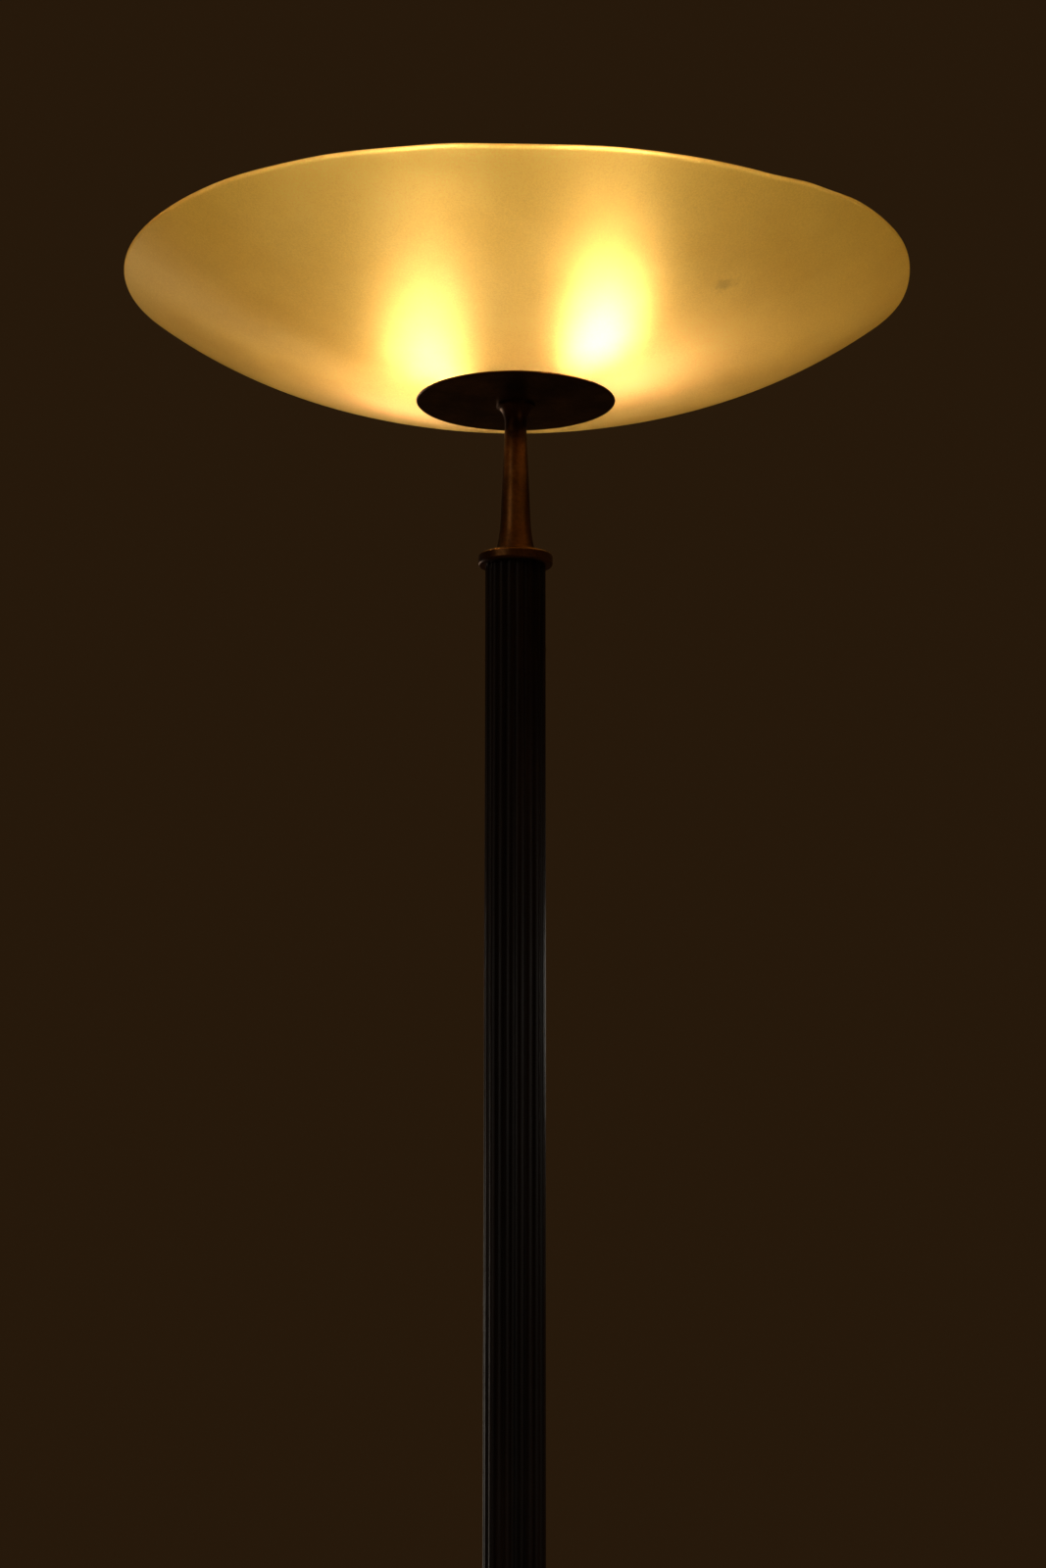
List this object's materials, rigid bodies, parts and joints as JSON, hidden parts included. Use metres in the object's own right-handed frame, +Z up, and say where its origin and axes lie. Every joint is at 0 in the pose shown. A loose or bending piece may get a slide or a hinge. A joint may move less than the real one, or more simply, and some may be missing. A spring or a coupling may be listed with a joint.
{
  "type": "torchiere floor lamp",
  "caption": "Torchiere floor lamp with a shallow frosted glass uplight bowl on a turned brass neck, a dark reeded column and a weighted round base with a foot switch.",
  "frame": {"origin": "on the floor, under the middle of the round base and of the glass bowl", "axes": "+Z up along the column; +X to the right and +Y to the back, where the cord gland points; the foot switch is at the front right"},
  "size_m": [0.48, 0.48, 1.72],
  "materials": {
    "base_felt": "matt green felt",
    "black_steel": "semi-matt black",
    "zinc_steel": "zinc plated",
    "cast_weight": "rough cast",
    "aged_brass": "dark aged, satin",
    "bright_brass": "dull, unlacquered",
    "bakelite": "moulded, satin",
    "tinned": "tinned",
    "button_plastic": "moulded brown",
    "dark_wood": "black-brown stain under satin lacquer",
    "gasket_felt": "matt felt",
    "frosted_glass": "sandblasted, warm amber cream",
    "black_rubber": "matt",
    "ceramic": "glazed",
    "bulb_glass": "inside frosted, lit",
    "bulb_cap": "satin",
    "filament": "lit stem and filament",
    "wire_grey": "insulated",
    "wire_brown": "insulated",
    "wire_blue": "insulated",
    "wire_green": "insulated"
  },
  "bodies": {
    "lamp": {"base_felt": "base_felt", "base_plate": "black_steel", "base_screws": "zinc_steel", "base_weight": "cast_weight", "base_cover": "aged_brass", "cord_gland": "bakelite", "gland_nut": "bright_brass", "cord_clamp": "zinc_steel", "cord_clamp_screws": "zinc_steel", "terminal_block": "bakelite", "terminal_screws": "bright_brass", "earth_tag": "tinned", "earth_screw": "bright_brass", "switch_body": "bakelite", "switch_nut": "bright_brass", "switch_contacts": "bright_brass", "button_spring": "zinc_steel", "tie_rod": "zinc_steel", "tie_rod_nut": "zinc_steel", "lock_washer": "zinc_steel", "tie_rod_washer": "zinc_steel", "lower_collar": "aged_brass", "reeded_column": "dark_wood", "top_collar": "aged_brass", "neck": "aged_brass", "support_plate": "aged_brass", "lower_gasket": "gasket_felt", "glass_bowl": "frosted_glass", "glass_bush": "black_rubber", "upper_gasket": "gasket_felt", "clamp_disc": "bright_brass", "lamp_hub": "bright_brass", "hub_connector": "ceramic", "hub_cap": "aged_brass", "finial": "aged_brass", "finial_nut": "zinc_steel", "lamp_nipple_1": "bright_brass", "lampholder_1": "bakelite", "lampholder_insert_1": "ceramic", "lampholder_contacts_1": "bright_brass", "bulb_glass_1": "bulb_glass", "bulb_cap_1": "bulb_cap", "bulb_filament_1": "filament", "lamp_wires_1": "wire_grey", "lamp_nipple_2": "bright_brass", "lampholder_2": "bakelite", "lampholder_insert_2": "ceramic", "lampholder_contacts_2": "bright_brass", "bulb_glass_2": "bulb_glass", "bulb_cap_2": "bulb_cap", "bulb_filament_2": "filament", "lamp_wires_2": "wire_grey", "live_wire": "wire_brown", "neutral_wire": "wire_blue", "earth_wire": "wire_green", "switch_lead": "wire_brown"},
    "foot_button": {"switch_button": "button_plastic", "switch_bridge": "bright_brass"}
  },
  "joints": [
    {"name": "foot_button_press", "type": "slide", "parent": "lamp", "child": "foot_button", "axis": [0, 0, -1], "range_m": [0, 0.004], "stiffness_N_per_m": 1500, "springref_m": -0.003, "deforming": ["button_spring"]}
  ]
}
